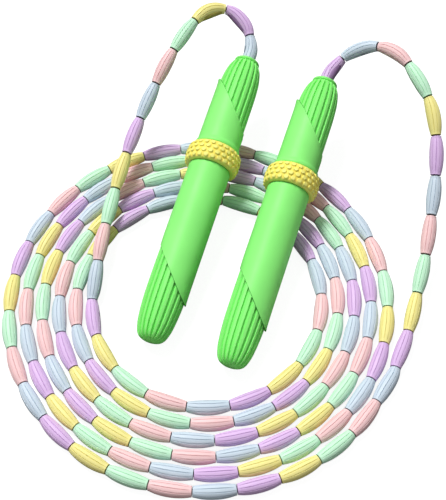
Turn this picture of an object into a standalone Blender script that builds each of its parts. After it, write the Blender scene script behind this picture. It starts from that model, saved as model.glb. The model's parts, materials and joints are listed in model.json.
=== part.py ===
"""Beaded skipping rope with two corn-cob handles, lying coiled on a flat surface.

Metres, +Z up, the surface at z = 0. The handles lie side by side along +Y, tips down on the
surface and kernel rings on the coiled rope. The origin is below the middle of the two handles.
Each handle turns about its own axis on the rope that comes out of its neck.
"""

import math

import bmesh
import bpy
from mathutils import Matrix, Vector

MM = 0.001
GAP = 0.3 * MM

# Handle. A height along the handle is measured from its rounded tip.
HANDLE_LENGTH = 149 * MM
HANDLE_SPACING = 37.3 * MM      # between the two tips
HANDLE_STAGGER = 0.8 * MM       # the right handle lies this much nearer
HANDLE_TILT = math.radians(7.95)
HANDLE_SPREAD = math.radians(0.42)   # each handle's neck points this much outwards

# Ribbed core, with outlines in millimetres as (radius, height along the handle)
CORE_RADIUS = 9.4 * MM
UPPER_CORE_RADIUS = 9.5 * MM
TIP_OUTLINE = ((9.2, 20), (8.85, 14), (8.2, 8), (7.6, 5), (6.8, 2.7), (5.6, 0.9), (4, 0), (0, 0))
NECK_OUTLINE = ((6, 147.2), (7.2, 145.4), (8.3, 142), (9.1, 137), (9.5, 129))
BORE_OUTLINE = ((0, 2.5), (5, 3.5), (7.2, 9), (7.2, 123), (5.2, 129), (5.2, 147.2))
NECK_TOP = 147.2 * MM
RIBS = 20
RIB_DEPTH = 0.8 * MM
RIB_RUNOUT = 2 * MM
LOWER_RIBS_END = 48 * MM
UPPER_RIBS_START = 106 * MM
TIP_RUNOUT = 3 * MM             # the grooves run out this near each end
NECK_RUNOUT = 3 * MM

# Smooth sleeves, each with one slanted end
LOWER_SLEEVE_RADIUS = 9.95 * MM
UPPER_SLEEVE_RADIUS = 10.1 * MM
SLEEVE_WALL = 0.45 * MM
LOWER_SLEEVE_CUT = 32.1 * MM    # where the slanted end crosses the axis
UPPER_SLEEVE_CUT = 122.9 * MM
SLEEVE_CUT_SLOPE = 1.26
SLEEVE_CUT_SIDE = math.radians(5.6)
SLEEVE_LIP_RADIUS = 10.8 * MM
SLEEVE_STEPS = 36

# Kernel ring
RING_MIDDLE = 92.7 * MM
RING_WIDTH = 9.9 * MM
RING_RADIUS = 13.05 * MM
RING_EDGE_RADIUS = 10.9 * MM

# Neck collar, with a socket for the first bead and a hole for the cord
LIP_RADIUS = 6.15 * MM
LIP_HEIGHT = 1.6 * MM
SOCKET_RADIUS = 4.05 * MM
SOCKET_DEPTH = 9.2 * MM
SPIGOT_RADIUS = 4.9 * MM
COLLAR_FLOOR = 2 * MM
CORD_HOLE = 1.6 * MM

# Washer and knot inside the neck
WASHER_RADIUS = 4.8 * MM
WASHER_THICKNESS = 1.8 * MM
KNOT_RADIUS = 3.4 * MM

# Rope
CORD_RADIUS = 1.1 * MM
CORD_STEP = 5 * MM
BEAD_LENGTH = 18.2 * MM
BEAD_PITCH = 18.7 * MM          # on the leads
BEAD_RADIUS = 3.3 * MM
BEAD_END_RADIUS = 2.4 * MM
BEAD_BORE = 1.8 * MM
BEAD_SIDES = 12
BEADS_PER_LEAD = 9
RIGHT_BEAD_RECESS = 3.7 * MM    # how deep the first bead sits in the neck
LEFT_BEAD_RECESS = 4.7 * MM

# Coil, as one flat ring of the outer shape of the coiled rope
COIL_CENTRE = Vector((-3.2, -46.2, 0)) * MM
COIL_INNER = 48.5 * MM
COIL_OUTER = 91.5 * MM
COIL_HEIGHT = 6.8 * MM
COIL_CORNER = 2.6 * MM

# Routes of the two leads from the necks to the top of the coil, in millimetres
RIGHT_LEAD_ROUTE = (
    (21.2, 79.7, 29.8), (27, 86.6, 35.6), (37, 90.1, 41.1), (47.5, 87.6, 44.3),
    (57, 81.1, 44.4), (70.3, 67.1, 40), (77.7, 52.6, 33.2), (82.3, 36.1, 25),
    (85.2, 18.1, 17.8), (87.2, 1.1, 12), (88, -16.4, 8),
)
LEFT_LEAD_ROUTE = (
    (-20.2, 81.2, 29.6), (-25.3, 90.1, 33.6), (-35, 94.6, 37.1), (-44.2, 90.6, 39),
    (-49.5, 80.1, 39), (-54.3, 62.1, 35), (-57.3, 46.1, 28.8), (-59.4, 28.6, 22.2),
    (-60, 10.6, 17.3), (-59.2, -7.4, 13.4), (-57.3, -25.4, 10.8),
)

# Colours in linear RGB, as colour, roughness
MATERIALS = {
    "handle_green": ((0.285, 0.956, 0.215), 0.46),
    "kernel_yellow": ((0.975, 0.925, 0.215), 0.5),
    "bead_purple": ((0.770, 0.535, 0.860), 0.42),
    "bead_blue": ((0.640, 0.745, 0.845), 0.42),
    "bead_pink": ((0.965, 0.650, 0.655), 0.42),
    "bead_green": ((0.620, 0.960, 0.700), 0.42),
    "bead_yellow": ((0.955, 0.870, 0.330), 0.42),
    "cord_grey": ((0.30, 0.29, 0.28), 0.75),
    "washer_white": ((0.82, 0.82, 0.80), 0.45),
    "coil_blue": ((0.640, 0.745, 0.845), 0.42),
}
BEAD_COLOURS = ("bead_purple", "bead_blue", "bead_pink", "bead_green", "bead_yellow")
BEAD_COUNT = 152


def clear_scene():
    """Remove whatever the file starts with."""
    for obj in list(bpy.data.objects):
        bpy.data.objects.remove(obj, do_unlink=True)


def make_material(name):
    """Make a plastic or cord material from its row of MATERIALS."""
    colour, roughness = MATERIALS[name]
    material = bpy.data.materials.new(name)
    material.use_nodes = True
    shader = material.node_tree.nodes["Principled BSDF"]
    shader.inputs["Base Color"].default_value = (*colour, 1)
    shader.inputs["Roughness"].default_value = roughness
    shader.inputs["Metallic"].default_value = 0
    material.diffuse_color = (*colour, 1)
    return material


def material_of(name):
    """Return the named material, made on first use."""
    return bpy.data.materials.get(name) or make_material(name)


def add_object(name, data, material, parent=None):
    """Put new data into the rope's collection as one named sub-part."""
    obj = bpy.data.objects.new(name, data)
    bpy.data.collections["jump_rope"].objects.link(obj)
    if material:
        data.materials.append(material_of(material))
    obj.parent = parent
    return obj


def profile_mesh(name, points, closed):
    """Make an outline of (radius, height) points in the XZ plane, for a Screw modifier."""
    mesh = bpy.data.meshes.new(name)
    shape = bmesh.new()
    corners = [shape.verts.new((radius, 0, height)) for radius, height in points]
    for start, end in zip(corners, corners[1:]):
        shape.edges.new((start, end))
    if closed:
        shape.edges.new((corners[-1], corners[0]))
    shape.to_mesh(mesh)
    shape.free()
    return mesh


def turn(obj, steps):
    """Turn an outline once about its Z axis."""
    screw = obj.modifiers.new("turn", "SCREW")
    screw.steps = steps
    screw.render_steps = steps
    screw.use_merge_vertices = True
    screw.merge_threshold = 0.00001


def add_turned(name, points, steps, material, parent=None, closed=True):
    """Add a turned piece; its outline runs down its outer side."""
    obj = add_object(name, profile_mesh(name, points, closed), material, parent)
    turn(obj, steps)
    return obj


def apply_modifiers(obj):
    """Replace an object's data with the mesh that its modifiers make."""
    evaluated = obj.evaluated_get(bpy.context.evaluated_depsgraph_get())
    mesh = bpy.data.meshes.new_from_object(evaluated)
    obj.modifiers.clear()
    obj.data = mesh


def smooth(obj, angle):
    """Shade smooth, with a hard edge wherever faces meet at more than the angle."""
    obj.data.shade_smooth()
    obj.data.set_sharp_from_angle(angle=math.radians(angle))


def arc(centre, radius, start, end, count):
    """Return points (radius, height) on an arc, angles in degrees from the outward direction."""
    points = []
    for index in range(count + 1):
        angle = math.radians(start + (end - start) * index / count)
        points.append((centre[0] + radius * math.cos(angle), centre[1] + radius * math.sin(angle)))
    return points


def at_height(height):
    """Turn a height along the handle into one from the neck's mouth, where the origin is."""
    return height - HANDLE_LENGTH


def lowered(points):
    """Move an outline from heights above the tip to heights below the neck's mouth."""
    return [(radius, at_height(height)) for radius, height in points]


# --- Handle -------------------------------------------------------------------------------


def scaled(outline):
    """Turn an outline in millimetres into metres."""
    return [(radius * MM, height * MM) for radius, height in outline]


def core_outline():
    """Return the hollow core's outline, from inside its tip, over the neck, down its side."""
    side = [
        (UPPER_CORE_RADIUS, UPPER_RIBS_START + RIB_RUNOUT), (UPPER_CORE_RADIUS, UPPER_RIBS_START),
        (CORE_RADIUS, LOWER_RIBS_END), (CORE_RADIUS, LOWER_RIBS_END - RIB_RUNOUT),
    ]
    return scaled(BORE_OUTLINE) + scaled(NECK_OUTLINE) + side + scaled(TIP_OUTLINE)


def bore_radius(height):
    """Return the radius of the core's bore at a height along the handle."""
    outline = scaled(BORE_OUTLINE)
    for (low_radius, low), (high_radius, high) in zip(outline, outline[1:]):
        if low <= height <= high:
            return low_radius + (high_radius - low_radius) * (height - low) / (high - low)
    return 0


def rib_share(height):
    """Return how much of the full depth the grooves have at a height along the handle."""
    if LOWER_RIBS_END - RIB_RUNOUT / 2 < height < UPPER_RIBS_START + RIB_RUNOUT / 2:
        return 0
    return max(0, min(1, height / TIP_RUNOUT, (NECK_TOP - height) / NECK_RUNOUT))


def cut_grooves(obj):
    """Pull every second column of the core's outer side in, which leaves ribs between."""
    for vertex in obj.data.vertices:
        radius = math.hypot(vertex.co.x, vertex.co.y)
        height = vertex.co.z + HANDLE_LENGTH
        column = round(math.atan2(vertex.co.y, vertex.co.x) * RIBS / math.pi)
        if column % 2 and radius > bore_radius(height) + GAP:
            narrower = 1 - RIB_DEPTH * rib_share(height) / radius
            vertex.co.x *= narrower
            vertex.co.y *= narrower


def add_core(side, joint):
    """Add the hollow ribbed core, which carries everything else on the handle."""
    name = side + "_handle_core"
    core = add_turned(name, lowered(core_outline()), 2 * RIBS, "handle_green", joint, closed=False)
    apply_modifiers(core)
    cut_grooves(core)
    smooth(core, 30)


def add_sleeve(name, outline, cut, keep_above, joint):
    """Add a thin smooth sleeve round the core, with one end cut at a slant."""
    sleeve = add_turned(name, lowered(outline), SLEEVE_STEPS, "handle_green", joint, closed=False)
    apply_modifiers(sleeve)
    shape = bmesh.new()
    shape.from_mesh(sleeve.data)
    slope = SLEEVE_CUT_SLOPE
    across = Vector((slope * math.cos(SLEEVE_CUT_SIDE), -slope * math.sin(SLEEVE_CUT_SIDE), 1))
    if keep_above:
        across.negate()
    bmesh.ops.bisect_plane(
        shape, geom=shape.verts[:] + shape.edges[:] + shape.faces[:], dist=0.000001,
        plane_co=(0, 0, at_height(cut)), plane_no=across, clear_outer=True,
    )
    shape.to_mesh(sleeve.data)
    shape.free()
    wall = sleeve.modifiers.new("wall", "SOLIDIFY")
    wall.thickness = SLEEVE_WALL
    wall.offset = -1
    apply_modifiers(sleeve)
    smooth(sleeve, 35)


def add_lower_sleeve(side, joint):
    """Add the sleeve between the ribbed tip and the kernel ring."""
    top = RING_MIDDLE - RING_WIDTH / 2 - GAP
    outline = [(LOWER_SLEEVE_RADIUS, top), (LOWER_SLEEVE_RADIUS, 10 * MM)]
    add_sleeve(side + "_lower_sleeve", outline, LOWER_SLEEVE_CUT, True, joint)


def add_upper_sleeve(side, joint):
    """Add the sleeve between the kernel ring and the ribbed neck, with a lip at the ring."""
    bottom = RING_MIDDLE + RING_WIDTH / 2 + GAP
    outline = [
        (UPPER_SLEEVE_RADIUS, 140 * MM), (UPPER_SLEEVE_RADIUS, bottom + 3 * MM),
        (SLEEVE_LIP_RADIUS, bottom + 1.8 * MM), (SLEEVE_LIP_RADIUS, bottom),
    ]
    add_sleeve(side + "_upper_sleeve", outline, UPPER_SLEEVE_CUT, False, joint)


def add_kernel_ring(side, joint):
    """Add the bulging ring that carries the corn kernels."""
    bore = CORE_RADIUS + GAP
    bulge = []
    for index in range(7):
        angle = math.radians(90 - 30 * index)
        radius = RING_EDGE_RADIUS + (RING_RADIUS - RING_EDGE_RADIUS) * math.cos(angle)
        bulge.append((radius, RING_MIDDLE + RING_WIDTH / 2 * math.sin(angle)))
    outline = [(bore, RING_MIDDLE - RING_WIDTH / 2), (bore, RING_MIDDLE + RING_WIDTH / 2), *bulge]
    ring = add_turned(side + "_kernel_ring", lowered(outline), 36, "kernel_yellow", joint)
    smooth(ring, 40)


def add_neck_collar(side, joint):
    """Add the collar in the neck: a rounded lip, a bead socket and a spigot down the core."""
    floor = HANDLE_LENGTH - SOCKET_DEPTH
    lip_base = HANDLE_LENGTH - LIP_HEIGHT
    outline = [
        (CORD_HOLE, floor - COLLAR_FLOOR), (CORD_HOLE, floor), (SOCKET_RADIUS, floor),
        (SOCKET_RADIUS, HANDLE_LENGTH), (LIP_RADIUS - 0.6 * MM, HANDLE_LENGTH),
        (LIP_RADIUS, HANDLE_LENGTH - LIP_HEIGHT / 3),
        (LIP_RADIUS, HANDLE_LENGTH - LIP_HEIGHT / 1.5), (LIP_RADIUS - 0.4 * MM, lip_base),
        (SPIGOT_RADIUS, lip_base), (SPIGOT_RADIUS, floor - COLLAR_FLOOR),
    ]
    collar = add_turned(side + "_neck_collar", lowered(outline), 24, "handle_green", joint)
    smooth(collar, 35)


def washer_top():
    """Return the height along the handle of the washer's upper face."""
    return HANDLE_LENGTH - SOCKET_DEPTH - COLLAR_FLOOR - GAP


def add_washer(side, joint):
    """Add the flat washer that the knot pulls against."""
    top = washer_top()
    bottom = top - WASHER_THICKNESS
    outline = [(CORD_HOLE, bottom), (CORD_HOLE, top), (WASHER_RADIUS, top), (WASHER_RADIUS, bottom)]
    washer = add_turned(side + "_washer", lowered(outline), 24, "washer_white", joint)
    smooth(washer, 30)


def add_handle(side):
    """Add one handle on an empty whose origin and +Z are its joint's point and axis."""
    joint = add_object(side + "_handle_axis", None, None)
    joint.matrix_world = handle_matrix(side)
    add_core(side, joint)
    add_lower_sleeve(side, joint)
    add_upper_sleeve(side, joint)
    add_kernel_ring(side, joint)
    add_neck_collar(side, joint)
    add_washer(side, joint)


def handle_axis(side):
    """Return the direction from a handle's tip to its neck."""
    sign = 1 if side == "right" else -1
    flat = math.cos(HANDLE_TILT)
    return Vector((
        sign * math.sin(HANDLE_SPREAD) * flat,
        math.cos(HANDLE_SPREAD) * flat,
        math.sin(HANDLE_TILT),
    ))


def tip_rise():
    """Return how high the middle of the tip's end is, with the tip resting on the surface."""
    rests = []
    for radius, height in scaled(TIP_OUTLINE):
        rests.append(radius * math.cos(HANDLE_TILT) - height * math.sin(HANDLE_TILT))
    return max(rests)


def handle_matrix(side):
    """Return the placement of a handle's axis, with its origin at the neck's mouth."""
    sign = 1 if side == "right" else -1
    axis = handle_axis(side)
    reach = HANDLE_LENGTH * math.cos(HANDLE_TILT) + LIP_RADIUS * math.sin(HANDLE_TILT)
    tip = Vector((
        sign * HANDLE_SPACING / 2,
        -reach / 2 - sign * HANDLE_STAGGER / 2,
        tip_rise(),
    ))
    across = Vector((0, 0, 1)).cross(axis).normalized() * -1
    turned = Matrix((across, axis.cross(across), axis)).transposed().to_4x4()
    return Matrix.Translation(tip + axis * HANDLE_LENGTH) @ turned


# --- Rope ---------------------------------------------------------------------------------


def smooth_points(route):
    """Return closely spaced points on a smooth curve through the route's points."""
    points = [route[0] * 2 - route[1], *route, route[-1] * 2 - route[-2]]
    result = []
    for before, start, end, after in zip(points, points[1:], points[2:], points[3:]):
        for step in range(20):
            t = step / 20
            result.append(0.5 * (
                2 * start + (end - before) * t
                + (2 * before - 5 * start + 4 * end - after) * t ** 2
                + (3 * start - before - 3 * end + after) * t ** 3
            ))
    return result + [route[-1]]


def evenly_spaced(points, step):
    """Return points along a line of points, at about the same distance from each other."""
    lengths = [0]
    for start, end in zip(points, points[1:]):
        lengths.append(lengths[-1] + (end - start).length)
    count = round(lengths[-1] / step)
    result = []
    segment = 0
    for index in range(count + 1):
        wanted = lengths[-1] * index / count
        while segment < len(points) - 2 and lengths[segment + 1] < wanted:
            segment += 1
        share = (wanted - lengths[segment]) / (lengths[segment + 1] - lengths[segment])
        result.append(points[segment].lerp(points[segment + 1], share))
    return result


def cord_depth():
    """Return how far the cord reaches into the handle from the neck's mouth, to its knot."""
    return HANDLE_LENGTH - washer_top() + WASHER_THICKNESS + GAP


def add_lead_cord(side, route):
    """Add the cord from the knot inside a handle, out of its neck and over to the coil."""
    axis = handle_axis(side)
    mouth = handle_matrix(side).translation
    inside = [mouth - axis * cord_depth(), mouth - axis * cord_depth() / 2, mouth]
    points = evenly_spaced(smooth_points(inside + [Vector(p) * MM for p in route]), CORD_STEP)
    curve = bpy.data.curves.new(side + "_lead_cord", "CURVE")
    curve.dimensions = "3D"
    curve.bevel_depth = CORD_RADIUS
    curve.bevel_resolution = 2
    curve.use_fill_caps = True
    spline = curve.splines.new("POLY")
    spline.points.add(len(points) - 1)
    for point, place in zip(spline.points, points):
        point.co = (*place, 1)
    return add_object(side + "_lead_cord", curve, "cord_grey")


def bead_mesh():
    """Make one barrel-shaped bead with a bore, lying along X about its middle."""
    half = BEAD_LENGTH / 2
    bulge = BEAD_RADIUS - BEAD_END_RADIUS
    outside = []
    for index in range(7):
        place = 1 - index / 3
        outside.append((BEAD_END_RADIUS + bulge * (1 - abs(place) ** 2.2), half * place))
    bore = [(BEAD_BORE, half * (index / 2 - 1)) for index in range(5)]
    mesh = profile_mesh("bead", bore + outside, closed=True)
    turned = bpy.data.objects.new("bead", mesh)
    bpy.data.collections["jump_rope"].objects.link(turned)
    turn(turned, BEAD_SIDES)
    apply_modifiers(turned)
    bead = turned.data
    bead.transform(Matrix.Rotation(math.pi / 2, 4, "Y"))
    bead.shade_smooth()
    bead.set_sharp_from_angle(angle=math.radians(40))
    bpy.data.objects.remove(turned)
    return bead


def add_lead_beads(side, cord, recess):
    """Thread beads on a lead's cord, from the one in the handle's neck towards the coil."""
    first = cord_depth() - recess + BEAD_PITCH / 2
    for index in range(BEADS_PER_LEAD):
        number = index if side == "right" else BEAD_COUNT - 1 - index
        mesh = bead_mesh()
        colour = BEAD_COLOURS[number % len(BEAD_COLOURS)]
        bead = add_object(f"{side}_bead_{index + 1}", mesh, colour)
        bead.location.x = first + BEAD_PITCH * index
        follow = bead.modifiers.new("follow_cord", "CURVE")
        follow.object = cord
        follow.deform_axis = "POS_X"


def add_knot(side):
    """Add the knot at the cord's end, below the washer."""
    shape = bmesh.new()
    bmesh.ops.create_uvsphere(shape, u_segments=14, v_segments=9, radius=KNOT_RADIUS)
    mesh = bpy.data.meshes.new(side + "_knot")
    shape.to_mesh(mesh)
    shape.free()
    mesh.shade_smooth()
    knot = add_object(side + "_knot", mesh, "cord_grey")
    reach = cord_depth() + GAP + KNOT_RADIUS
    knot.matrix_world = handle_matrix(side) @ Matrix.Translation((0, 0, -reach))


def add_coil():
    """Add one flat ring with the outer shape of the coiled rope."""
    top = COIL_HEIGHT - COIL_CORNER
    outline = [
        (COIL_INNER, COIL_CORNER), (COIL_INNER, top), (COIL_INNER + COIL_CORNER, COIL_HEIGHT),
        *arc((COIL_OUTER - COIL_CORNER, top), COIL_CORNER, 90, 0, 2),
        *arc((COIL_OUTER - COIL_CORNER, COIL_CORNER), COIL_CORNER, 0, -90, 2),
        (COIL_INNER + COIL_CORNER, 0),
    ]
    coil = add_turned("rope_coil", outline, 64, "coil_blue")
    coil.location = COIL_CENTRE
    smooth(coil, 50)


def main():
    clear_scene()
    collection = bpy.data.collections.new("jump_rope")
    bpy.context.scene.collection.children.link(collection)
    add_coil()
    leads = (
        ("left", LEFT_LEAD_ROUTE, LEFT_BEAD_RECESS),
        ("right", RIGHT_LEAD_ROUTE, RIGHT_BEAD_RECESS),
    )
    for side, route, recess in leads:
        add_handle(side)
        add_knot(side)
        cord = add_lead_cord(side, route)
        add_lead_beads(side, cord, recess)


main()
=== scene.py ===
"""Looks of the beaded skipping rope with corn-cob handles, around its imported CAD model.

Metres in the row frame. Lengths that are written in millimetres are multiplied by MM.
"""

import json
import math

import bpy
import numpy as np
from mathutils import Matrix, Vector


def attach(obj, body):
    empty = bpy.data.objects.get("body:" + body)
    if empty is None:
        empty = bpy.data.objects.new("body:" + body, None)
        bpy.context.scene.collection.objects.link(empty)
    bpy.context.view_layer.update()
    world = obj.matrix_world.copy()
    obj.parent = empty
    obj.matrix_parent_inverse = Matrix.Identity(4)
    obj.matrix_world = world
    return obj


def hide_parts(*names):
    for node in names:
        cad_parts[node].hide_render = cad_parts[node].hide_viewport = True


MM = 0.001

# Camera
CAMERA_PLACE = (0.0782, -0.2701, 0.4457)
CAMERA_TILT = math.radians(30.93)
CAMERA_TURN = math.radians(17.8)
CAMERA_LENS = 80

# Light and stage
KEY_LIGHT_PLACE = (-1.9, 1.5, 4.0)
KEY_LIGHT_TARGET = (0, -0.03, 0)
KEY_LIGHT_SIZE = 1.2
KEY_LIGHT_POWER = 198
SURROUND_STRENGTH = 0.36
STAGE_RADIUS = 6.0
FLOOR_TONE = 0.24
FLOOR_GLOW = 0.92
TABLE_TONE = 0.1
TABLE_HEIGHT = -0.002
BACKDROP_FOOT = 0.001           # keeps the backdrop off the floor
BACKDROP_COLUMNS = 64

# Rope, in millimetres. The lead routes are the CAD's.
RIGHT_LEAD_ROUTE = (
    (21.2, 79.7, 29.8), (27, 86.6, 35.6), (37, 90.1, 41.1), (47.5, 87.6, 44.3),
    (57, 81.1, 44.4), (70.3, 67.1, 40), (77.7, 52.6, 33.2), (82.3, 36.1, 25),
    (85.2, 18.1, 17.8), (87.2, 1.1, 12), (88, -16.4, 8),
)
LEFT_LEAD_ROUTE = (
    (-20.2, 81.2, 29.6), (-25.3, 90.1, 33.6), (-35, 94.6, 37.1), (-44.2, 90.6, 39),
    (-49.5, 80.1, 39), (-54.3, 62.1, 35), (-57.3, 46.1, 28.8), (-59.4, 28.6, 22.2),
    (-60, 10.6, 17.3), (-59.2, -7.4, 13.4), (-57.3, -25.4, 10.8),
)
RIGHT_JOIN = ((88.5, -27.4, 6), (88.3, -38.4, 4.6), (87.3, -48.9, 3.6))
LEFT_JOIN = ((-55.7, -35.9, 10.1), (-53.7, -46.9, 7.7), (-51.8, -56.4, 5))
COIL_CENTRE = np.array((-3.2, -46.2))
COIL_RADIUS = 91.93
COIL_START = math.radians(77.8)
TURN_PITCH = 7.42
COIL_TURNS = (0.24, 5.66)
POINTS_A_TURN = 20
STRAND_HEIGHT = 3.4
CORD_DEPTH = 13.6
CORD_RADIUS = 1.1
ROPE_STEP = 0.5
CORD_STEP = 6                   # of the rope's points, from one point of the cord to the next

# Beads, in millimetres
BEAD_COUNT = 152
LEAD_BEADS = 9
BEAD_LENGTH = 18.2
LEAD_PITCH = 18.7
RIGHT_BEAD_RECESS = 3.7
LEFT_BEAD_RECESS = 4.7
BEAD_RADIUS = 3.3
BEAD_END_RADIUS = 2.4
BEAD_RIM = 0.5
BEAD_FULLNESS = 2.2
BEAD_ROWS = 17
BEAD_BORE = 1.8
BEAD_REACH = 0.6                # along the rope, to find a bead's direction
FLUTES = 11
FLUTE_PLACES = (0, 0.12, 0.3, 0.5, 0.7, 0.88)   # of the columns, in shares of a flute's pitch
FLUTE_DEPTH = 0.34
FLUTE_END = 0.4                 # from a bead's end, where its flutes stop
FLUTE_FADE = 10                 # the power with which they fade out towards it
# Painted shade in the flutes' bottoms, as a share of the bead's painted shade tone
FLUTE_PAINTED_SHADE = 0.4
BEAD_TURN = 0.618               # of a flute's pitch, from one bead to the next
BEAD_COLOURS = ("purple", "blue", "pink", "green", "yellow")
BLUE_ODD_BEAD = 89              # from 0 at the right handle; it is out of the pattern
BEAD_SHARP_ANGLE = 32           # in degrees

# Handle, in millimetres; a height along it is measured from its tip
HANDLE_LENGTH = 149
CORE_RADIUS = 9.4
UPPER_CORE_RADIUS = 9.5
RIBS = 20
RIB_COLUMNS = 20
RIB_DEPTH = 1.0
GROOVE_HALF_WIDTH = 0.28        # in shares of a rib's pitch, as the next two
GROOVE_WALL = 0.07
GROOVE_SPAN = 0.6
GROOVE_ROUNDING = 0.2
RIBS_START_RADIUS = 2           # on the rounded tip, where the grooves start to deepen
RIBS_FADE = 5
NECK_FADE = 1.3
CORE_BORE = 7.2
NECK_BORE = 5.2
NECK_TOP = 147.2
LOWER_RIBS_END = 48
UPPER_RIBS_START = 106
LOWER_SLEEVE_RADIUS = 9.95
UPPER_SLEEVE_RADIUS = 10.1
SLEEVE_WALL = 0.45
LOWER_SLEEVE_CUT = 32.1
UPPER_SLEEVE_CUT = 122.9
SLEEVE_CUT_SLOPE = 1.26
SLEEVE_CUT_SIDE = math.radians(5.6)
SLEEVE_LIP_RADIUS = 10.8
SLEEVE_LIFT = 0.3
SLEEVE_COLUMNS = 144
SLEEVE_ROWS = 26
RING_MIDDLE = 92.7
RING_WIDTH = 9.9
RING_RADIUS = 13.15
RING_EDGE_RADIUS = 10.9
RING_FULLNESS = 0.8
RING_ROWS = 84
RING_END_RADIUS = 10.5
RING_GAP = 0.3
RING_SHADE_END = 0.4             # past the ring's ends, where the painted shade between the kernels would fade out
RING_SHADE_FADE = 1.4
KERNELS_A_ROW = 24
KERNEL_ROWS = (-3.55, -1.2, 1.15, 3.4)
KERNEL_HEIGHT = 0.68
KERNEL_COLUMNS = 22
KERNEL_HALF_WIDTH = 1.16
KERNEL_HALF_HEIGHT = 1.08
KERNEL_SQUARENESS = 2.2
KERNEL_EDGE = 0.15
KERNEL_CROWN = 0.8
KERNEL_SLOPE = 0.25
LIP_RADIUS = 6.15
LIP_HEIGHT = 1.6
SOCKET_RADIUS = 4.05
SOCKET_DEPTH = 9.2
SPIGOT_RADIUS = 4.9
COLLAR_FLOOR = 2
CORD_HOLE = 1.6
COLLAR_COLUMNS = 72

# Colours in linear RGB
COLOURS = {
    "purple": (0.770, 0.535, 0.860),
    "blue": (0.640, 0.745, 0.845),
    "pink": (0.965, 0.650, 0.655),
    "green": (0.620, 0.960, 0.700),
    "yellow": (0.955, 0.870, 0.330),
}
HANDLE_COLOUR = (0.285, 0.956, 0.215)
# Painted shade in the bottoms of the rib grooves
HANDLE_PAINTED_SHADE = (0.22, 0.83, 0.165)
# Painted shadow: the thin dark line on the sleeves' slanted end walls
HUSK_EDGE_PAINTED_SHADOW = (0.05, 0.33, 0.04)
KERNEL_COLOUR = (0.985, 0.945, 0.25)
# Painted shade between the corn kernels
KERNEL_PAINTED_SHADE = (0.93, 0.80, 0.14)
# Dark grey: where the cord shows in the gaps between the beads, it paints the shade there
CORD_COLOUR = (0.30, 0.29, 0.28)
WASHER_COLOUR = (0.82, 0.82, 0.80)
BEAD_ROUGHNESS = 0.42
# The beads' painted shade tone: their colour to a power, darkened by a share
BEAD_SHADE_POWER = 1.5         # over 1 makes the beads' painted shade more saturated than their colour
BEAD_PAINTED_SHADE = 0.45
PLASTIC_SPECULAR = 0.22
FLOW_MARK_TONE = 0.94
CORD_ROUGHNESS = 0.75
CORD_PAINTED_SHADE = 0.6                # painted shade between the cord's strands, as a share of its colour


# --- Camera, light and floor ---------------------------------------------------------------


def add_camera():
    """Add the camera, which looks down at the rope from its right front."""
    data = bpy.data.cameras.new("camera")
    data.lens = CAMERA_LENS
    camera = bpy.data.objects.new("camera", data)
    camera.location = CAMERA_PLACE
    camera.rotation_euler = (CAMERA_TILT, 0, CAMERA_TURN)
    bpy.context.scene.collection.objects.link(camera)
    bpy.context.scene.camera = camera


def add_key_light():
    """Add one soft square light from the upper left."""
    data = bpy.data.lights.new("key", "AREA")
    data.shape = "SQUARE"
    data.size = KEY_LIGHT_SIZE
    data.energy = KEY_LIGHT_POWER
    light = bpy.data.objects.new("key", data)
    light.location = KEY_LIGHT_PLACE
    beam = Vector(KEY_LIGHT_TARGET) - Vector(KEY_LIGHT_PLACE)
    light.rotation_euler = beam.to_track_quat("-Z", "Y").to_euler()
    bpy.context.scene.collection.objects.link(light)


def add_surround():
    """Add an even white surrounding."""
    world = bpy.data.worlds.new("studio")
    world.use_nodes = True
    background = world.node_tree.nodes["Background"]
    background.inputs["Color"].default_value = (1, 1, 1, 1)
    background.inputs["Strength"].default_value = SURROUND_STRENGTH
    bpy.context.scene.world = world
    bpy.context.scene.view_settings.view_transform = "Standard"


def add_stage(name, corners, faces, colour, glow):
    """Add a surface that isn't part of the rope."""
    mesh = bpy.data.meshes.new(name)
    mesh.from_pydata(corners, [], faces)
    mesh.shade_smooth()
    surface = bpy.data.objects.new(name, mesh)
    bpy.context.scene.collection.objects.link(surface)
    material = bpy.data.materials.new(name)
    material.use_nodes = True
    shader = material.node_tree.nodes["Principled BSDF"]
    shader.inputs["Base Color"].default_value = (colour, colour, colour, 1)
    shader.inputs["Roughness"].default_value = 0.9
    shader.inputs["Emission Color"].default_value = (1, 1, 1, 1)
    shader.inputs["Emission Strength"].default_value = glow
    mesh.materials.append(material)
    return surface


def add_floor():
    """Add the pale floor that the rope lies on, which throws no light back, and a dark table
    that keeps light from coming up through it."""
    half = STAGE_RADIUS
    square = [(-half, -half), (half, -half), (half, half), (-half, half)]
    levels = (("floor", 0, FLOOR_TONE, FLOOR_GLOW), ("table", TABLE_HEIGHT, TABLE_TONE, 0))
    for name, height, colour, glow in levels:
        corners = [(*corner, height) for corner in square]
        plane = add_stage(name, corners, [(0, 1, 2, 3)], colour, glow)
        plane.visible_diffuse = name == "table"
        plane.visible_glossy = name == "table"


def add_backdrop():
    """Add the round backdrop that the floor rises into, which throws no light back either."""
    edge = STAGE_RADIUS
    outline = [
        (edge - 1, 0), (edge - 0.6, 0.08), (edge - 0.3, 0.3), (edge - 0.08, 0.6), (edge, 1),
        (edge, edge),
    ]
    around = 2 * math.pi * np.arange(BACKDROP_COLUMNS) / BACKDROP_COLUMNS
    rings = []
    for radius, height in outline:
        level = np.full(BACKDROP_COLUMNS, height + BACKDROP_FOOT)
        rings.append(np.column_stack([radius * np.cos(around), radius * np.sin(around), level]))
    faces = grid_faces(len(outline), BACKDROP_COLUMNS, closed_rows=False)[:, ::-1].tolist()
    wall = np.vstack(rings).tolist()
    backdrop = add_stage("backdrop", wall, faces, FLOOR_TONE, FLOOR_GLOW)
    backdrop.visible_diffuse = False
    backdrop.visible_glossy = False
    backdrop.visible_shadow = False


# --- Materials -----------------------------------------------------------------------------


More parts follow.
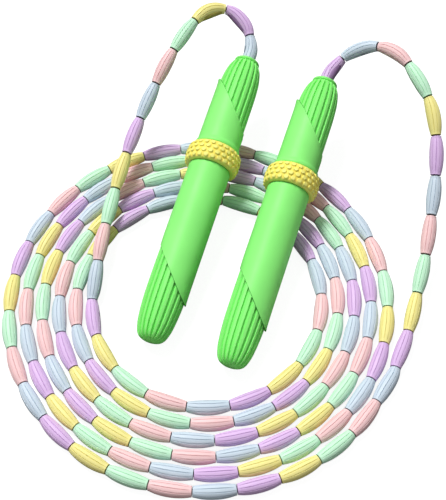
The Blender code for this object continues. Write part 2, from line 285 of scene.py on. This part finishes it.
def add_node(tree, kind, **settings):
    """Add a node and set its inputs, named with underscores, or its own properties."""
    node = tree.nodes.new(kind)
    for name, value in settings.items():
        socket = node.inputs.get(name.replace("_", " ").title())
        if socket:
            socket.default_value = value
        else:
            setattr(node, name, value)
    return node


def add_colour(tree, place, colour, painted_shade_tone):
    """Add flow marks to a colour and paint shade into it in the recesses; return the colour's
    output.
    """
    flow = add_node(tree, "ShaderNodeTexNoise", scale=55.0, detail=3.0, roughness=0.55)
    tree.links.new(place, flow.inputs["Vector"])
    tones = tree.nodes.new("ShaderNodeValToRGB")
    tones.color_ramp.elements[0].position = 0.3
    tones.color_ramp.elements[0].color = (*[c * FLOW_MARK_TONE for c in colour], 1)
    tones.color_ramp.elements[1].position = 0.7
    tones.color_ramp.elements[1].color = (*colour, 1)
    tree.links.new(flow.outputs["Fac"], tones.inputs["Fac"])
    # Painted shade: the tone is mixed in by each vertex's share of painted shade
    painted_shade = add_node(tree, "ShaderNodeAttribute", attribute_name="painted_shade")
    mix = add_node(tree, "ShaderNodeMix", data_type="RGBA", blend_type="MIX")
    tree.links.new(painted_shade.outputs["Fac"], mix.inputs["Factor"])
    tree.links.new(tones.outputs["Color"], mix.inputs["A"])
    mix.inputs["B"].default_value = (*painted_shade_tone, 1)
    return mix.outputs["Result"]


def add_bump(tree, place, grain, strength):
    """Add a fine satin grain and faint lengthwise scuffs; return the normal's output."""
    fine = add_node(tree, "ShaderNodeTexNoise", scale=float(grain), detail=2.0, roughness=0.5)
    tree.links.new(place, fine.inputs["Vector"])
    stretch = add_node(tree, "ShaderNodeMapping", scale=(700, 45, 300))
    tree.links.new(place, stretch.inputs["Vector"])
    scuffs = add_node(tree, "ShaderNodeTexNoise", scale=1.0, detail=3.0, roughness=0.6)
    tree.links.new(stretch.outputs["Vector"], scuffs.inputs["Vector"])
    both = add_node(tree, "ShaderNodeMath", operation="ADD")
    tree.links.new(fine.outputs["Fac"], both.inputs[0])
    tree.links.new(scuffs.outputs["Fac"], both.inputs[1])
    bump = tree.nodes.new("ShaderNodeBump")
    bump.inputs["Strength"].default_value = strength
    bump.inputs["Distance"].default_value = 0.0002
    tree.links.new(both.outputs["Value"], bump.inputs["Height"])
    return bump.outputs["Normal"]


def start_material(name, roughness):
    """Start a material whose roughness varies with wear; return it and its places in space."""
    material = bpy.data.materials.new(name)
    material.use_nodes = True
    tree = material.node_tree
    shader = tree.nodes["Principled BSDF"]
    shader.inputs["Specular IOR Level"].default_value = PLASTIC_SPECULAR
    place = tree.nodes.new("ShaderNodeTexCoord").outputs["Object"]
    worn = add_node(tree, "ShaderNodeTexNoise", scale=210.0, detail=4.0, roughness=0.6)
    tree.links.new(place, worn.inputs["Vector"])
    dull = tree.nodes.new("ShaderNodeMapRange")
    dull.inputs["To Min"].default_value = roughness - 0.08
    dull.inputs["To Max"].default_value = roughness + 0.1
    tree.links.new(worn.outputs["Fac"], dull.inputs["Value"])
    tree.links.new(dull.outputs["Result"], shader.inputs["Roughness"])
    return material, place


def make_plastic(name, colour, roughness, painted_shade_tone, grain=1200, strength=0.08):
    """Make a moulded satin plastic with flow marks, grain, scuffs and painted shade in its
    recesses.
    """
    material, place = start_material(name, roughness)
    tree = material.node_tree
    shader = tree.nodes["Principled BSDF"]
    tree.links.new(add_colour(tree, place, colour, painted_shade_tone), shader.inputs["Base Color"])
    tree.links.new(add_bump(tree, place, grain, strength), shader.inputs["Normal"])
    return material


def make_cord_material(name, colour):
    """Make a braided cord: two sets of slanting strands that cross, in bump and in colour, with
    painted shade between the strands.
    """
    material, place = start_material(name, CORD_ROUGHNESS)
    tree = material.node_tree
    shader = tree.nodes["Principled BSDF"]
    bands = []
    for slant in (0.7, -0.7):
        turn = add_node(tree, "ShaderNodeMapping", rotation=(slant, 0.5, slant))
        tree.links.new(place, turn.inputs["Vector"])
        wave = add_node(tree, "ShaderNodeTexWave", scale=420.0, distortion=1.5)
        tree.links.new(turn.outputs["Vector"], wave.inputs["Vector"])
        bands.append(wave.outputs["Fac"])
    crossed = add_node(tree, "ShaderNodeMath", operation="MAXIMUM")
    tree.links.new(bands[0], crossed.inputs[0])
    tree.links.new(bands[1], crossed.inputs[1])
    bump = tree.nodes.new("ShaderNodeBump")
    bump.inputs["Strength"].default_value = 0.6
    bump.inputs["Distance"].default_value = 0.0003
    tree.links.new(crossed.outputs["Value"], bump.inputs["Height"])
    tree.links.new(bump.outputs["Normal"], shader.inputs["Normal"])
    # Painted shade between the strands: the ramp darkens the cord's colour where they part
    strands = tree.nodes.new("ShaderNodeValToRGB")
    strands.color_ramp.elements[0].color = (*[c * CORD_PAINTED_SHADE for c in colour], 1)
    strands.color_ramp.elements[1].color = (*colour, 1)
    tree.links.new(crossed.outputs["Value"], strands.inputs["Fac"])
    tree.links.new(strands.outputs["Color"], shader.inputs["Base Color"])
    return material


# --- Meshes --------------------------------------------------------------------------------


def grid_faces(rows, columns, offset=0, closed_rows=True):
    """Return the faces of a grid of vertices that is closed across its columns."""
    row, column = np.meshgrid(np.arange(rows if closed_rows else rows - 1), np.arange(columns))
    row = row.ravel()
    column = column.ravel()
    next_row = (row + 1) % rows
    next_column = (column + 1) % columns
    corners = (
        row * columns + column, row * columns + next_column,
        next_row * columns + next_column, next_row * columns + column,
    )
    return np.stack(corners, axis=1) + offset


def mesh_from(name, points, faces, sharp_angle, painted_shade):
    """Make a smooth-shaded mesh, with hard edges past an angle in degrees, and keep how much
    painted shade each vertex gets, from 0 to 1."""
    mesh = bpy.data.meshes.new(name)
    mesh.from_pydata(points.tolist(), [], faces)
    depth = mesh.attributes.new("painted_shade", "FLOAT", "POINT")
    depth.data.foreach_set("value", np.asarray(painted_shade, dtype=np.float32).ravel())
    mesh.validate()
    mesh.shade_smooth()
    mesh.set_sharp_from_angle(angle=math.radians(sharp_angle))
    return mesh


def add_piece(name, mesh, material, body, slot, *replaced):
    """Add a mesh as a piece that rides on a body and stands for CAD nodes."""
    piece = bpy.data.objects.new(name, mesh)
    bpy.context.scene.collection.objects.link(piece)
    mesh.materials.append(material)
    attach(piece, body)
    if replaced:
        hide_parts(*replaced)
    return piece


def smooth_line(points, steps=16):
    """Return closely spaced points on a smooth curve through a row of points."""
    points = np.array(points, float)
    padded = np.vstack([2 * points[0] - points[1], points, 2 * points[-1] - points[-2]])
    before, start, end, after = padded[:-3], padded[1:-2], padded[2:-1], padded[3:]
    t = (np.arange(steps) / steps)[None, :, None]
    before, start, end, after = (p[:, None, :] for p in (before, start, end, after))
    line = 0.5 * (
        2 * start + (end - before) * t
        + (2 * before - 5 * start + 4 * end - after) * t ** 2
        + (3 * start - before - 3 * end + after) * t ** 3
    )
    return np.vstack([line.reshape(-1, points.shape[1]), points[-1:]])


def lengths_along(line):
    """Return the length along a line at each of its points."""
    return np.concatenate([[0], np.cumsum(np.linalg.norm(np.diff(line, axis=0), axis=1))])


def at_lengths(line, along, wanted):
    """Return the points at some lengths along a line, given the length at each of its points."""
    return np.stack([np.interp(wanted, along, line[:, axis]) for axis in range(3)], axis=-1)


# --- Rope ----------------------------------------------------------------------------------


def joint_of(side):
    """Return the record's joint between the rope and a handle."""
    return next(joint for joint in frame["joints"] if joint["child"] == side + "_handle")


def inside_handle(side):
    """Return the cord's points in a handle, from its knot to the neck's mouth."""
    mouth = np.array(joint_of(side)["pos_m"]) / MM
    axis = np.array(joint_of(side)["axis"])
    return [mouth - axis * CORD_DEPTH, mouth - axis * CORD_DEPTH / 2, mouth]


def coil_points():
    """Return the points of the flat coil, from its outer end to its inner end."""
    first, last = COIL_TURNS
    count = round((last - first) * POINTS_A_TURN)
    turns = np.linspace(first, last, count + 1)
    radius = COIL_RADIUS - TURN_PITCH * turns
    angle = COIL_START - 2 * math.pi * turns
    flat = COIL_CENTRE + radius[:, None] * np.stack([np.cos(angle), np.sin(angle)], axis=1)
    return np.column_stack([flat, np.full(len(flat), STRAND_HEIGHT)])


def rope_line():
    """Return the rope's centreline in millimetres, from the right handle's knot to the left's."""
    right = [*inside_handle("right"), *RIGHT_LEAD_ROUTE, *RIGHT_JOIN]
    left = [*inside_handle("left"), *LEFT_LEAD_ROUTE, *LEFT_JOIN]
    line = smooth_line([*right, *coil_points(), *left[::-1]])
    along = lengths_along(line)
    return at_lengths(line, along, np.arange(0, along[-1], ROPE_STEP))


def bead_places(total):
    """Return where each bead starts and how long it is, as lengths along the rope."""
    right_start = CORD_DEPTH - RIGHT_BEAD_RECESS
    left_end = total - CORD_DEPTH + LEFT_BEAD_RECESS
    lead = LEAD_BEADS * LEAD_PITCH
    coil_pitch = (left_end - right_start - 2 * lead) / (BEAD_COUNT - 2 * LEAD_BEADS)
    places = []
    start = right_start
    for number in range(BEAD_COUNT):
        on_lead = number < LEAD_BEADS or number >= BEAD_COUNT - LEAD_BEADS
        pitch = LEAD_PITCH if on_lead else coil_pitch
        places.append((start, pitch))
        start += pitch
    return places


def bead_profile():
    """Return a bead's outline as (place along it, radius, share of the flutes' depth); on the end
    rows the third value is painted shade where the beads meet.
    """
    half = BEAD_LENGTH / 2
    bulge = BEAD_RADIUS - BEAD_END_RADIUS
    outline = []
    for share in np.linspace(-1, 1, BEAD_ROWS):
        place = share * (half - BEAD_RIM)
        radius = BEAD_END_RADIUS + bulge * (1 - abs(share) ** BEAD_FULLNESS)
        outline.append((place, radius, 1 - abs(share) ** FLUTE_FADE))
    # The end face and bore rows carry 1: painted shade in the joints between beads
    rim = [(half - 0.32, 0.03, 0), (half - 0.18, -0.02, 0), (half - 0.06, -0.2, 1)]
    front = [(place, BEAD_END_RADIUS + rise, end) for place, rise, end in rim]
    front += [(half, BEAD_END_RADIUS - 0.4, 1), (half, BEAD_BORE, 1)]
    back = [(-place, radius, depth) for place, radius, depth in front[::-1]]
    return np.array([*back, *outline, *front])


def flute_columns():
    """Return every column's angle and flute depth: narrow V grooves with flat lands between."""
    place = (np.arange(FLUTES)[:, None] + np.array(FLUTE_PLACES)[None, :]).ravel()
    depth = np.where(place % 1 == 0, FLUTE_DEPTH, 0)
    return 2 * math.pi * place / FLUTES, depth


def bead_points(line, along, start, pitch, number):
    """Return a bead's vertices, row by row, bent along the rope, and the painted shade on each."""
    profile = bead_profile()
    place = start + pitch / 2 + profile[:, 0]
    centre = at_lengths(line, along, place)
    ahead = at_lengths(line, along, place + BEAD_REACH)
    behind = at_lengths(line, along, place - BEAD_REACH)
    forward = ahead - behind
    forward /= np.linalg.norm(forward, axis=1)[:, None]
    across = np.cross((0, 0, 1), forward)
    across /= np.linalg.norm(across, axis=1)[:, None]
    upward = np.cross(forward, across)
    angle, depth = flute_columns()
    angle = angle + (number * BEAD_TURN) % 1 * 2 * math.pi / FLUTES
    fluted = np.abs(profile[:, 0]) < BEAD_LENGTH / 2 - FLUTE_END
    share = np.where(fluted, profile[:, 2], 0)[:, None]
    flutes = share * depth[None, :]
    radius = profile[:, 1:2] - flutes
    around = (
        np.cos(angle)[None, :, None] * across[:, None, :]
        + np.sin(angle)[None, :, None] * upward[:, None, :]
    )
    points = centre[:, None, :] + radius[:, :, None] * around
    # Painted shade in the flutes' bottoms and on the ends where the beads meet
    painted_shade = np.where(share > 0, FLUTE_PAINTED_SHADE * flutes / FLUTE_DEPTH, profile[:, 2:3])
    return points.reshape(-1, 3), painted_shade.ravel()


def bead_colour(number):
    """Return the colour name of a bead, counted from the right handle."""
    return "blue" if number == BLUE_ODD_BEAD else BEAD_COLOURS[number % len(BEAD_COLOURS)]


def bead_set_mesh(name, line, along, places, numbers):
    """Make one mesh of several beads."""
    columns = FLUTES * len(FLUTE_PLACES)
    points = []
    painted_shades = []
    faces = []
    count = 0
    for number in numbers:
        bead, painted_shade = bead_points(line, along, *places[number], number)
        faces.append(grid_faces(len(bead) // columns, columns, count))
        points.append(bead)
        painted_shades.append(painted_shade)
        count += len(bead)
    faces = np.vstack(faces).tolist()
    painted_shade = np.concatenate(painted_shades)
    return mesh_from(name, np.vstack(points) * MM, faces, BEAD_SHARP_ANGLE, painted_shade)


def add_rope():
    """Add the cord and its beads: one piece a bead on the leads, one a colour in the coil."""
    line = rope_line()
    along = lengths_along(line)
    places = bead_places(along[-1])
    plastics = {}
    for name, colour in COLOURS.items():
        # The painted shade tone of each bead colour: darker and more saturated
        painted_shade_tone = [c ** BEAD_SHADE_POWER * BEAD_PAINTED_SHADE for c in colour]
        plastics[name] = make_plastic("bead_" + name, colour, BEAD_ROUGHNESS, painted_shade_tone)
    last = BEAD_COUNT - 1
    lead_numbers = {}
    for index in range(LEAD_BEADS):
        lead_numbers[index] = f"right_bead_{index + 1}"
        lead_numbers[last - index] = f"left_bead_{index + 1}"
    for number, node in sorted(lead_numbers.items()):
        colour = bead_colour(number)
        mesh = bead_set_mesh(node + "_fluted", line, along, places, [number])
        slot = "bead_" + colour
        add_piece(node + "_fluted", mesh, plastics[colour], "rope", slot, node)
    for colour in BEAD_COLOURS:
        numbers = [
            number for number in range(BEAD_COUNT)
            if number not in lead_numbers and bead_colour(number) == colour
        ]
        name = "coil_beads_" + colour
        slot = "bead_" + colour
        mesh = bead_set_mesh(name, line, along, places, numbers)
        add_piece(name, mesh, plastics[colour], "rope", slot, "rope_coil")
    add_cord(line)


def add_cord(line):
    """Add the one cord through all the beads, knotted inside both handles."""
    curve = bpy.data.curves.new("rope_cord", "CURVE")
    curve.dimensions = "3D"
    curve.bevel_depth = CORD_RADIUS * MM
    curve.bevel_resolution = 3
    curve.use_fill_caps = True
    points = line[::CORD_STEP]
    spline = curve.splines.new("POLY")
    spline.points.add(len(points) - 1)
    for point, place in zip(spline.points, points * MM):
        point.co = (*place, 1)
    spline.use_smooth = True
    cord = bpy.data.objects.new("rope_cord", curve)
    bpy.context.scene.collection.objects.link(cord)
    curve.materials.append(make_cord_material("cord_braid", CORD_COLOUR))
    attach(cord, "rope")
    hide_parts("left_lead_cord", "right_lead_cord")


# --- Handles -------------------------------------------------------------------------------


def handle_matrix(side):
    """Return the placement of a handle: its joint's point and axis."""
    axis = Vector(joint_of(side)["axis"])
    across = axis.cross(Vector((0, 0, 1))).normalized()
    turned = Matrix((across, axis.cross(across), axis)).transposed().to_4x4()
    return Matrix.Translation(joint_of(side)["pos_m"]) @ turned


def add_handle_piece(side, name, rows, faces, material, slot, sharp_angle, node, painted_shade=0):
    """Add a piece of a handle from rows of points (radius, height) a column, in millimetres."""
    radius, height = rows[..., 0], rows[..., 1]
    columns = rows.shape[1]
    angle = 2 * math.pi * np.arange(columns) / columns
    points = np.stack([
        radius * np.cos(angle)[None, :],
        radius * np.sin(angle)[None, :],
        height - HANDLE_LENGTH,
    ], axis=-1).reshape(-1, 3) * MM
    painted_shade = np.broadcast_to(painted_shade, radius.shape)
    mesh = mesh_from(f"{side}_{name}", points, faces, sharp_angle, painted_shade)
    mesh.transform(handle_matrix(side))
    body = side + "_handle"
    return add_piece(f"{side}_{name}", mesh, material, body, slot, node)


def turned_rows(outline, columns):
    """Repeat an outline of (radius, height) points in every column."""
    return np.repeat(np.array(outline, float)[:, None, :], columns, axis=1)


def rib_groove():
    """Return the share of the full depth that the grooves have in every column."""
    place = (np.arange(RIBS * RIB_COLUMNS) / RIB_COLUMNS + 0.5) % 1
    away = np.minimum(place, 1 - place)
    bottom = 1 - GROOVE_ROUNDING + GROOVE_ROUNDING * np.cos(math.pi * away / GROOVE_SPAN)
    return np.clip((GROOVE_HALF_WIDTH - away) / GROOVE_WALL, 0, 1) * bottom


def outline_normals(outline):
    """Return the outward unit normals of an outline of (radius, height) points."""
    along = np.gradient(outline, axis=0)
    along /= np.linalg.norm(along, axis=1)[:, None]
    return np.stack([along[:, 1], -along[:, 0]], axis=1)


def add_ribbed_core(side, material):
    """Add the hollow core with its lengthwise ribs, which run over the rounded tip."""
    tip = smooth_line([
        (0.02, -0.6), (1.3, -0.55), (2.6, -0.35), (3.8, 0.02), (4.9, 0.5), (5.7, 1.1),
        (6.4, 2), (6.9, 3), (7.6, 5.2), (8.2, 8), (8.85, 14), (9.2, 20), (9.33, 27),
        (CORE_RADIUS, 34),
    ], 4)
    straight = [(CORE_RADIUS, height) for height in (38, 42, 46, LOWER_RIBS_END)]
    upper = [(UPPER_CORE_RADIUS, height) for height in (UPPER_RIBS_START, 110, 115, 120, 125)]
    neck = smooth_line([
        (9.5, 129), (9.35, 133), (9.1, 137), (8.75, 139.7), (8.3, 142), (7.8, 143.9),
        (7.2, 145.4), (6.6, 146.5), (6, NECK_TOP),
    ], 3)
    outer = np.array([*tip.tolist(), *straight, *upper, *neck.tolist()])
    inside = [
        (NECK_BORE, NECK_TOP), (NECK_BORE, 129), (CORE_BORE, 123), (CORE_BORE, 9), (5, 3.5),
        (0.02, 2.5),
    ]
    columns = RIBS * RIB_COLUMNS
    rows = turned_rows([*outer, *inside], columns)
    radius, height = outer.T
    share = np.clip((radius - RIBS_START_RADIUS) / RIBS_FADE, 0, 1)
    share *= np.clip((NECK_TOP + 0.3 - height) / NECK_FADE, 0, 1)
    share[(height > LOWER_RIBS_END - 1) & (height < UPPER_RIBS_START + 1)] = 0
    depth = RIB_DEPTH * share[:, None] * rib_groove()[None, :]
    rows[: len(outer)] -= depth[:, :, None] * outline_normals(outer)[:, None, :]
    faces = grid_faces(len(rows), columns, closed_rows=False).tolist()
    last_row = (len(rows) - 1) * columns
    faces.append(list(range(columns))[::-1])
    faces.append(list(range(last_row, last_row + columns)))
    # Painted shade in the rib grooves, as strong as each groove is deep
    painted_shade = np.zeros(rows.shape[:2])
    painted_shade[: len(outer)] = depth / RIB_DEPTH
    add_handle_piece(
        side, "ribbed_core", rows, faces, material, "handle_green", 35, side + "_handle_core",
        painted_shade,
    )


def slanted_end(cut, radius, columns):
    """Return the height of a sleeve's slanted edge in every column."""
    angle = 2 * math.pi * np.arange(columns) / columns
    return cut - SLEEVE_CUT_SLOPE * radius * np.cos(angle + SLEEVE_CUT_SIDE)


def add_sleeve(side, name, base, direction, cut, radius, flare, material):
    """Add a smooth thin sleeve with a slanted end, whose edge is rounded and whose point
    stands a little off the ribs. A row is (radius, height over the base, share of that lift,
    painted shade); the end wall and inside get the painted shadow along the slanted edge."""
    edge = slanted_end(cut, radius, SLEEVE_COLUMNS)
    length = (edge - base) * direction
    share = (length - length.min()) / (length.max() - length.min())
    lift = SLEEVE_LIFT * (share ** 12 - (1 - share) ** 3)
    inner = radius - SLEEVE_WALL
    start = flare[-1][0]
    rows = [(own, direction * distance + 0 * edge, 0, 0) for distance, own in flare]
    for part in np.linspace(0.05, 1, SLEEVE_ROWS):
        reach = start + (length - 1.6 - start) * part
        rows.append((radius, direction * reach, max(0, part - 0.9) * 5, 0))
    for back, rise in ((1.2, 0.02), (0.8, 0.05), (0.45, 0.06), (0.22, 0.04)):
        rows.append((radius + rise, direction * (length - back), 0.8, 0))
    # From here in: the painted shadow along the slanted edge, on its end wall and inside
    rows.append((radius - 0.02, direction * (length - 0.08), 0.8, 1))
    rows.append((radius - 0.15, direction * length, 0.8, 1))
    rows.append((inner, direction * length, 0.8, 1))
    rows.append((inner, direction * (length - 4), 0, 1))
    rows.append((inner, direction * 0.1 + 0 * edge, 0, 1))
    points = np.array([
        np.stack([own + weight * lift, base + along], axis=-1) for own, along, weight, _ in rows
    ])
    painted_shade = np.array([row[3] for row in rows])[:, None]
    faces = grid_faces(len(points), SLEEVE_COLUMNS)
    if direction < 0:
        faces = faces[:, ::-1]
    node = side + "_" + name
    add_handle_piece(
        side, name + "_husk", points, faces.tolist(), material, "handle_green", 40, node, painted_shade
    )


def kernel_relief(around, height, middle):
    """Return how far the kernels stand out, from 0 to 1, at each place on the ring."""
    relief = np.zeros(np.broadcast(around, height).shape)
    for index, row in enumerate(KERNEL_ROWS):
        sideways = (around + 0.5 * (index % 2)) % 1 - 0.5
        across = sideways * 2 * math.pi * middle / KERNELS_A_ROW / KERNEL_HALF_WIDTH
        along = (height - row) / KERNEL_HALF_HEIGHT
        power = KERNEL_SQUARENESS
        reach = (np.abs(across) ** power + np.abs(along) ** power) ** (1 / power)
        edge = np.clip((1 - reach) / KERNEL_EDGE, 0, 1)
        crown = np.minimum(KERNEL_CROWN - KERNEL_SLOPE * along, 1)
        relief = np.maximum(relief, edge * edge * (3 - 2 * edge) * crown)
    return relief


def add_kernel_ring(side, material):
    """Add the bulging ring with staggered rows of rounded kernels standing out of it."""
    columns = KERNELS_A_ROW * KERNEL_COLUMNS
    middle = RING_RADIUS - KERNEL_HEIGHT
    rim = RING_WIDTH / 2
    outer = []
    for angle in np.radians(np.linspace(-90, 90, RING_ROWS)):
        bulge = math.cos(angle) ** RING_FULLNESS
        radius = RING_EDGE_RADIUS + (middle - RING_EDGE_RADIUS) * bulge
        outer.append((radius, rim * math.sin(angle)))
    bore = CORE_RADIUS + RING_GAP
    inside = np.array([(RING_END_RADIUS, rim - 0.02), (bore + 0.2, rim - 0.02), (bore, rim - 0.3)])
    outline = np.vstack([outer, inside, inside[::-1] * (1, -1)])
    rows = turned_rows(outline, columns)
    around = (np.arange(columns) / KERNEL_COLUMNS)[None, :]
    relief = kernel_relief(around, outline[:, 1:2], middle)
    relief[len(outer):] = 0
    rows[..., 0] += KERNEL_HEIGHT * relief
    rows[..., 1] += RING_MIDDLE
    faces = grid_faces(len(rows), columns).tolist()
    # Painted shade between the kernels, fading towards the ring's rims
    shade_band = np.clip((rim + RING_SHADE_END - np.abs(outline[:, 1:2])) / RING_SHADE_FADE, 0, 1)
    add_handle_piece(
        side, "corn_kernels", rows, faces, material, "kernel_yellow", 50,
        side + "_kernel_ring", (1 - relief) * shade_band,
    )


def add_collar(side, material):
    """Add the rounded collar at the neck, with the socket of the first bead."""
    floor = HANDLE_LENGTH - SOCKET_DEPTH
    lip_base = HANDLE_LENGTH - LIP_HEIGHT
    half = LIP_HEIGHT / 2
    lip = []
    for angle in np.radians(np.linspace(-70, 90, 10)):
        out = LIP_RADIUS - half + half * math.cos(angle)
        lip.append((out, lip_base + half * (1 + math.sin(angle))))
    inner = []
    for angle in np.radians(np.linspace(90, 180, 6)):
        out = SOCKET_RADIUS + 0.5 + 0.5 * math.cos(angle)
        inner.append((out, HANDLE_LENGTH - 0.5 + 0.5 * math.sin(angle)))
    outline = [
        (SPIGOT_RADIUS, floor - COLLAR_FLOOR), (SPIGOT_RADIUS, lip_base), *lip, *inner,
        (SOCKET_RADIUS, floor), (CORD_HOLE, floor), (CORD_HOLE, floor - COLLAR_FLOOR),
    ]
    rows = turned_rows(outline, COLLAR_COLUMNS)
    faces = grid_faces(len(rows), COLLAR_COLUMNS).tolist()
    add_handle_piece(
        side, "neck_lip", rows, faces, material, "handle_green", 40, side + "_neck_collar"
    )


def add_handles():
    """Add the detailed pieces of both handles."""
    # Painted shade: dark green on sleeve edges, deeper green in rib grooves, ochre between kernels
    green = make_plastic("husk_green", HANDLE_COLOUR, 0.46, HUSK_EDGE_PAINTED_SHADOW)
    ribbed = make_plastic("rib_green", HANDLE_COLOUR, 0.5, HANDLE_PAINTED_SHADE)
    yellow = make_plastic("kernel_yellow", KERNEL_COLOUR, 0.5, KERNEL_PAINTED_SHADE, 800, 0.12)
    washer = make_plastic("washer_nylon", WASHER_COLOUR, 0.45, WASHER_COLOUR)
    knot = make_cord_material("knot_braid", CORD_COLOUR)
    plain_end = [
        (0.0, LOWER_SLEEVE_RADIUS - 0.3), (0.12, LOWER_SLEEVE_RADIUS - 0.08),
        (0.4, LOWER_SLEEVE_RADIUS), (1.5, LOWER_SLEEVE_RADIUS),
    ]
    flared_end = [
        (0.0, SLEEVE_LIP_RADIUS - 0.4), (0.12, SLEEVE_LIP_RADIUS - 0.15), (0.4, SLEEVE_LIP_RADIUS),
        (1.2, SLEEVE_LIP_RADIUS), (1.7, SLEEVE_LIP_RADIUS - 0.12),
        (2.1, SLEEVE_LIP_RADIUS - 0.4), (2.5, UPPER_SLEEVE_RADIUS + 0.1),
        (3, UPPER_SLEEVE_RADIUS), (4.5, UPPER_SLEEVE_RADIUS),
    ]
    below = RING_MIDDLE - RING_WIDTH / 2 - RING_GAP
    above = RING_MIDDLE + RING_WIDTH / 2 + RING_GAP
    for side in ("left", "right"):
        add_ribbed_core(side, ribbed)
        add_sleeve(
            side, "lower_sleeve", below, -1, LOWER_SLEEVE_CUT, LOWER_SLEEVE_RADIUS, plain_end,
            green,
        )
        add_sleeve(
            side, "upper_sleeve", above, 1, UPPER_SLEEVE_CUT, UPPER_SLEEVE_RADIUS, flared_end,
            green,
        )
        add_kernel_ring(side, yellow)
        add_collar(side, green)
        for node, material in ((side + "_washer", washer), (side + "_knot", knot)):
            frame["nodes"][node].data.materials.clear()
            frame["nodes"][node].data.materials.append(material)


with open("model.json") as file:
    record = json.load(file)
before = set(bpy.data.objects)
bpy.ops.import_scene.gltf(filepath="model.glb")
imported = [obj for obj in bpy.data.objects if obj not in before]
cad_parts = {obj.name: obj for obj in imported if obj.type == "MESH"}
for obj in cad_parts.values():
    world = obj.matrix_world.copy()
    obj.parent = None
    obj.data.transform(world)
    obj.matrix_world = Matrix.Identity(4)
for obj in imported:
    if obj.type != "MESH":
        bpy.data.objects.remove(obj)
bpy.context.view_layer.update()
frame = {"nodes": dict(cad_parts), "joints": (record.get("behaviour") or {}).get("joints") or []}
add_camera()
add_rope()
add_handles()
add_key_light()
add_surround()
add_floor()
add_backdrop()
